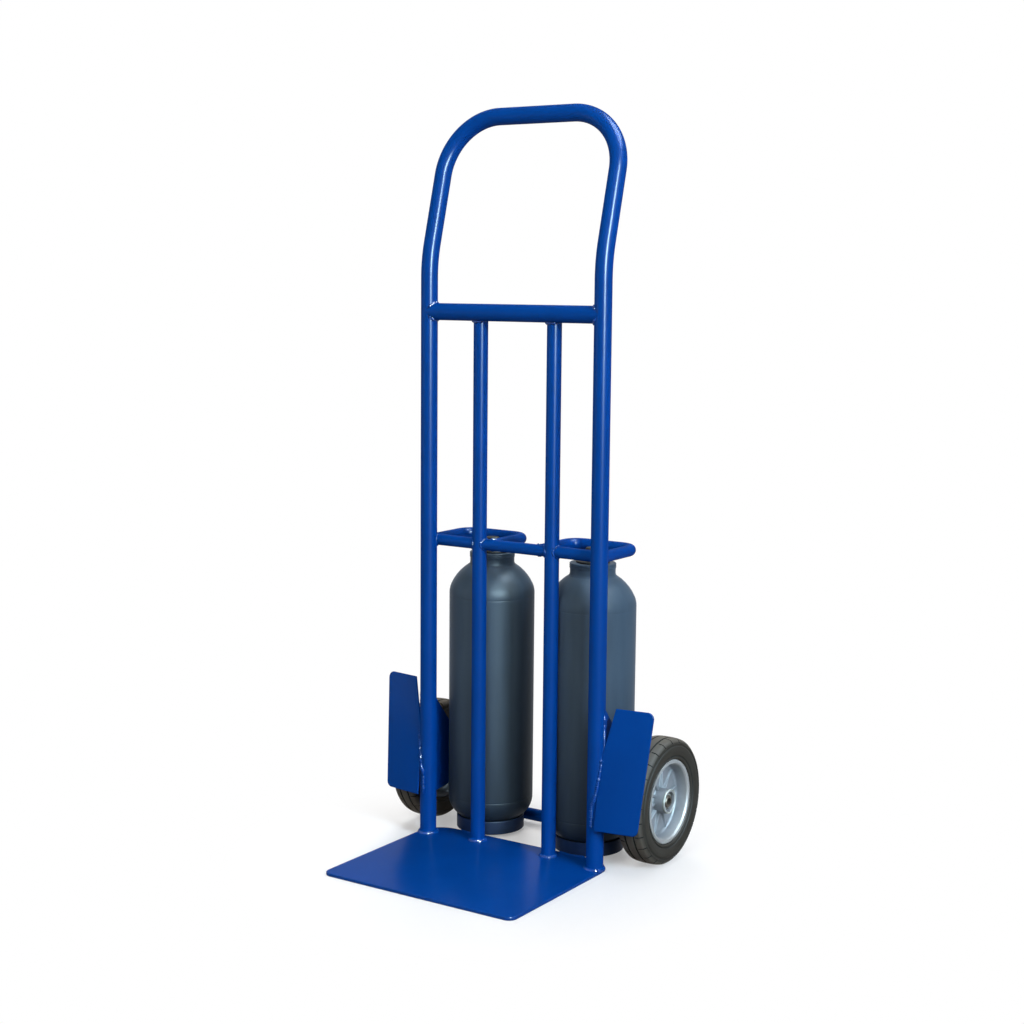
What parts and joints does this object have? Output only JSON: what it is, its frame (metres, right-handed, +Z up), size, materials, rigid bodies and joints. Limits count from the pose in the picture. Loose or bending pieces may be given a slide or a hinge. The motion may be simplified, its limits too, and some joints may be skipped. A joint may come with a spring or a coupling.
{
  "type": "gas cylinder trolley",
  "caption": "Upright tube-frame hand trolley with a flat toe plate, rubber-tyred wheels behind sheet guards, and small gas cylinders standing in cups under keeper loops.",
  "frame": {"origin": "on the floor, under the middle of the whole trolley's box", "axes": "+Z up along the uprights, -Y towards the toe plate, +X to the right seen from the toe plate's side"},
  "size_m": [0.503, 0.454, 1.1752],
  "materials": {
    "blue_enamel": "gloss blue enamel over welded steel tube and sheet",
    "slate_paint": "satin slate grey paint over pressed steel",
    "cast_rim": "pale grey as-cast and lacquered",
    "tyre_rubber": "matt dark rubber, moulded",
    "zinc_steel": "turned and zinc plated",
    "bearing_steel": "ground bearing steel",
    "black_plug": "black moulded plug"
  },
  "bodies": {
    "frame": {"main_frame_tube": "blue_enamel", "upper_cross_tube": "blue_enamel", "inner_tube_left": "blue_enamel", "inner_tube_right": "blue_enamel", "mid_bar_left": "blue_enamel", "mid_bar_centre": "blue_enamel", "mid_bar_right": "blue_enamel", "keeper_loop_left": "blue_enamel", "keeper_loop_right": "blue_enamel", "toe_plate": "blue_enamel", "wheel_guard_left": "blue_enamel", "wheel_guard_right": "blue_enamel", "axle_bracket_left": "blue_enamel", "axle_bracket_right": "blue_enamel", "stub_axle_left": "zinc_steel", "stub_axle_right": "zinc_steel", "axle_washers": "zinc_steel", "retaining_rings": "zinc_steel", "foot_cup_left": "slate_paint", "foot_cup_right": "slate_paint", "rear_foot_bar": "blue_enamel"},
    "wheel_left": {"tyre_left": "tyre_rubber", "rim_left": "cast_rim", "bearing_left": "bearing_steel"},
    "wheel_right": {"tyre_right": "tyre_rubber", "rim_right": "cast_rim", "bearing_right": "bearing_steel"},
    "cylinder_left": {"cylinder_shell_left": "slate_paint", "foot_ring_left": "slate_paint", "neck_ring_left": "slate_paint", "neck_plug_left": "black_plug"},
    "cylinder_right": {"cylinder_shell_right": "slate_paint", "foot_ring_right": "slate_paint", "neck_ring_right": "slate_paint", "neck_plug_right": "black_plug"}
  },
  "joints": [
    {"name": "wheel_left_spin", "type": "hinge", "parent": "frame", "child": "wheel_left", "pos_m": [-0.21615, 0.127, 0.1], "axis": [1, 0, 0], "continuous": true},
    {"name": "wheel_right_spin", "type": "hinge", "parent": "frame", "child": "wheel_right", "pos_m": [0.21615, 0.127, 0.1], "axis": [1, 0, 0], "continuous": true},
    {"name": "cylinder_left_lift", "type": "slide", "parent": "frame", "child": "cylinder_left", "axis": [0, 0, 1], "range_m": [0, 0.0115]},
    {"name": "cylinder_right_lift", "type": "slide", "parent": "frame", "child": "cylinder_right", "axis": [0, 0, 1], "range_m": [0, 0.0115]}
  ]
}
